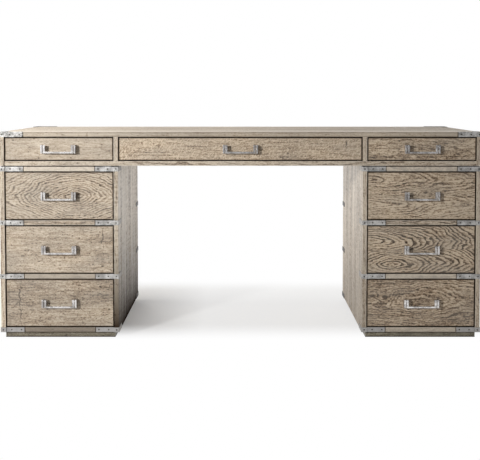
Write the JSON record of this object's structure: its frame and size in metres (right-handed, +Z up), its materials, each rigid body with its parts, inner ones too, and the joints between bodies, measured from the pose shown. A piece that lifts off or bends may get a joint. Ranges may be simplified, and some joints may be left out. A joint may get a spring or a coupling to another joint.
{
  "type": "double-pedestal desk",
  "caption": "Campaign-style oak writing desk with two drawer pedestals, a shallow drawer case on top, metal corner straps and swinging bail pulls.",
  "frame": {"origin": "on the floor, at the middle of the whole desk's bounding box seen from above", "axes": "+X along the width to the sitter's right as they face the drawers, +Y from the drawer fronts to the back, +Z up"},
  "size_m": [1.833, 0.7836, 0.7885],
  "materials": {
    "oak": "weathered, wire-brushed pale oak with a dry matt finish",
    "plinth_oak": "darker grey-brown stained oak, matt",
    "lining_wood": "plain sanded hardwood of drawer boxes, decks and runners",
    "strap_metal": "antiqued pewter-coloured steel, lightly mottled",
    "pull_metal": "antiqued pewter-coloured cast metal, satin",
    "screw_metal": "darkened slotted screw heads"
  },
  "bodies": {
    "root": {"desktop": "oak", "top_case_ends": "oak", "top_case_dividers": "oak", "top_case_front_rail": "oak", "top_case_bottom": "oak", "top_case_back_panel": "oak", "left_pedestal_outer_side": "oak", "left_pedestal_inner_side": "oak", "left_pedestal_front_rails": "oak", "left_pedestal_decks": "lining_wood", "left_pedestal_runners": "lining_wood", "left_pedestal_back_panel": "oak", "left_pedestal_plinth": "plinth_oak", "right_pedestal_outer_side": "oak", "right_pedestal_inner_side": "oak", "right_pedestal_front_rails": "oak", "right_pedestal_decks": "lining_wood", "right_pedestal_runners": "lining_wood", "right_pedestal_back_panel": "oak", "right_pedestal_plinth": "plinth_oak", "corner_straps": "strap_metal", "desktop_corner_caps": "strap_metal", "strap_screws": "screw_metal"},
    "left_top_drawer": {"left_top_drawer_front": "oak", "left_top_drawer_box": "lining_wood", "left_top_pull_posts": "pull_metal"},
    "left_top_bail": {"left_top_pull_bail": "pull_metal"},
    "centre_top_drawer": {"centre_top_drawer_front": "oak", "centre_top_drawer_box": "lining_wood", "centre_top_pull_posts": "pull_metal"},
    "centre_top_bail": {"centre_top_pull_bail": "pull_metal"},
    "right_top_drawer": {"right_top_drawer_front": "oak", "right_top_drawer_box": "lining_wood", "right_top_pull_posts": "pull_metal"},
    "right_top_bail": {"right_top_pull_bail": "pull_metal"},
    "left_upper_drawer": {"left_upper_drawer_front": "oak", "left_upper_drawer_box": "lining_wood", "left_upper_pull_posts": "pull_metal"},
    "left_upper_bail": {"left_upper_pull_bail": "pull_metal"},
    "left_middle_drawer": {"left_middle_drawer_front": "oak", "left_middle_drawer_box": "lining_wood", "left_middle_pull_posts": "pull_metal"},
    "left_middle_bail": {"left_middle_pull_bail": "pull_metal"},
    "left_lower_drawer": {"left_lower_drawer_front": "oak", "left_lower_drawer_box": "lining_wood", "left_lower_pull_posts": "pull_metal"},
    "left_lower_bail": {"left_lower_pull_bail": "pull_metal"},
    "right_upper_drawer": {"right_upper_drawer_front": "oak", "right_upper_drawer_box": "lining_wood", "right_upper_pull_posts": "pull_metal"},
    "right_upper_bail": {"right_upper_pull_bail": "pull_metal"},
    "right_middle_drawer": {"right_middle_drawer_front": "oak", "right_middle_drawer_box": "lining_wood", "right_middle_pull_posts": "pull_metal"},
    "right_middle_bail": {"right_middle_pull_bail": "pull_metal"},
    "right_lower_drawer": {"right_lower_drawer_front": "oak", "right_lower_drawer_box": "lining_wood", "right_lower_pull_posts": "pull_metal"},
    "right_lower_bail": {"right_lower_pull_bail": "pull_metal"}
  },
  "joints": [
    {"name": "left_top_drawer_slide", "type": "slide", "parent": "root", "child": "left_top_drawer", "axis": [0, -1, 0], "range_m": [0, 0.45]},
    {"name": "left_top_bail_swing", "type": "hinge", "parent": "left_top_drawer", "child": "left_top_bail", "pos_m": [-0.6895, -0.38725, 0.7325], "axis": [-1, 0, 0], "range_deg": [-35, 90]},
    {"name": "centre_top_drawer_slide", "type": "slide", "parent": "root", "child": "centre_top_drawer", "axis": [0, -1, 0], "range_m": [0, 0.45]},
    {"name": "centre_top_bail_swing", "type": "hinge", "parent": "centre_top_drawer", "child": "centre_top_bail", "pos_m": [0, -0.38725, 0.7325], "axis": [-1, 0, 0], "range_deg": [-35, 90]},
    {"name": "right_top_drawer_slide", "type": "slide", "parent": "root", "child": "right_top_drawer", "axis": [0, -1, 0], "range_m": [0, 0.45]},
    {"name": "right_top_bail_swing", "type": "hinge", "parent": "right_top_drawer", "child": "right_top_bail", "pos_m": [0.6895, -0.38725, 0.7325], "axis": [-1, 0, 0], "range_deg": [-35, 90]},
    {"name": "left_upper_drawer_slide", "type": "slide", "parent": "root", "child": "left_upper_drawer", "axis": [0, -1, 0], "range_m": [0, 0.45]},
    {"name": "left_upper_bail_swing", "type": "hinge", "parent": "left_upper_drawer", "child": "left_upper_bail", "pos_m": [-0.6895, -0.38725, 0.55383], "axis": [-1, 0, 0], "range_deg": [-35, 90]},
    {"name": "left_middle_drawer_slide", "type": "slide", "parent": "root", "child": "left_middle_drawer", "axis": [0, -1, 0], "range_m": [0, 0.45]},
    {"name": "left_middle_bail_swing", "type": "hinge", "parent": "left_middle_drawer", "child": "left_middle_bail", "pos_m": [-0.6895, -0.38725, 0.3485], "axis": [-1, 0, 0], "range_deg": [-35, 90]},
    {"name": "left_lower_drawer_slide", "type": "slide", "parent": "root", "child": "left_lower_drawer", "axis": [0, -1, 0], "range_m": [0, 0.45]},
    {"name": "left_lower_bail_swing", "type": "hinge", "parent": "left_lower_drawer", "child": "left_lower_bail", "pos_m": [-0.6895, -0.38725, 0.14317], "axis": [-1, 0, 0], "range_deg": [-35, 90]},
    {"name": "right_upper_drawer_slide", "type": "slide", "parent": "root", "child": "right_upper_drawer", "axis": [0, -1, 0], "range_m": [0, 0.45]},
    {"name": "right_upper_bail_swing", "type": "hinge", "parent": "right_upper_drawer", "child": "right_upper_bail", "pos_m": [0.6895, -0.38725, 0.55383], "axis": [-1, 0, 0], "range_deg": [-35, 90]},
    {"name": "right_middle_drawer_slide", "type": "slide", "parent": "root", "child": "right_middle_drawer", "axis": [0, -1, 0], "range_m": [0, 0.45]},
    {"name": "right_middle_bail_swing", "type": "hinge", "parent": "right_middle_drawer", "child": "right_middle_bail", "pos_m": [0.6895, -0.38725, 0.3485], "axis": [-1, 0, 0], "range_deg": [-35, 90]},
    {"name": "right_lower_drawer_slide", "type": "slide", "parent": "root", "child": "right_lower_drawer", "axis": [0, -1, 0], "range_m": [0, 0.45]},
    {"name": "right_lower_bail_swing", "type": "hinge", "parent": "right_lower_drawer", "child": "right_lower_bail", "pos_m": [0.6895, -0.38725, 0.14317], "axis": [-1, 0, 0], "range_deg": [-35, 90]}
  ]
}
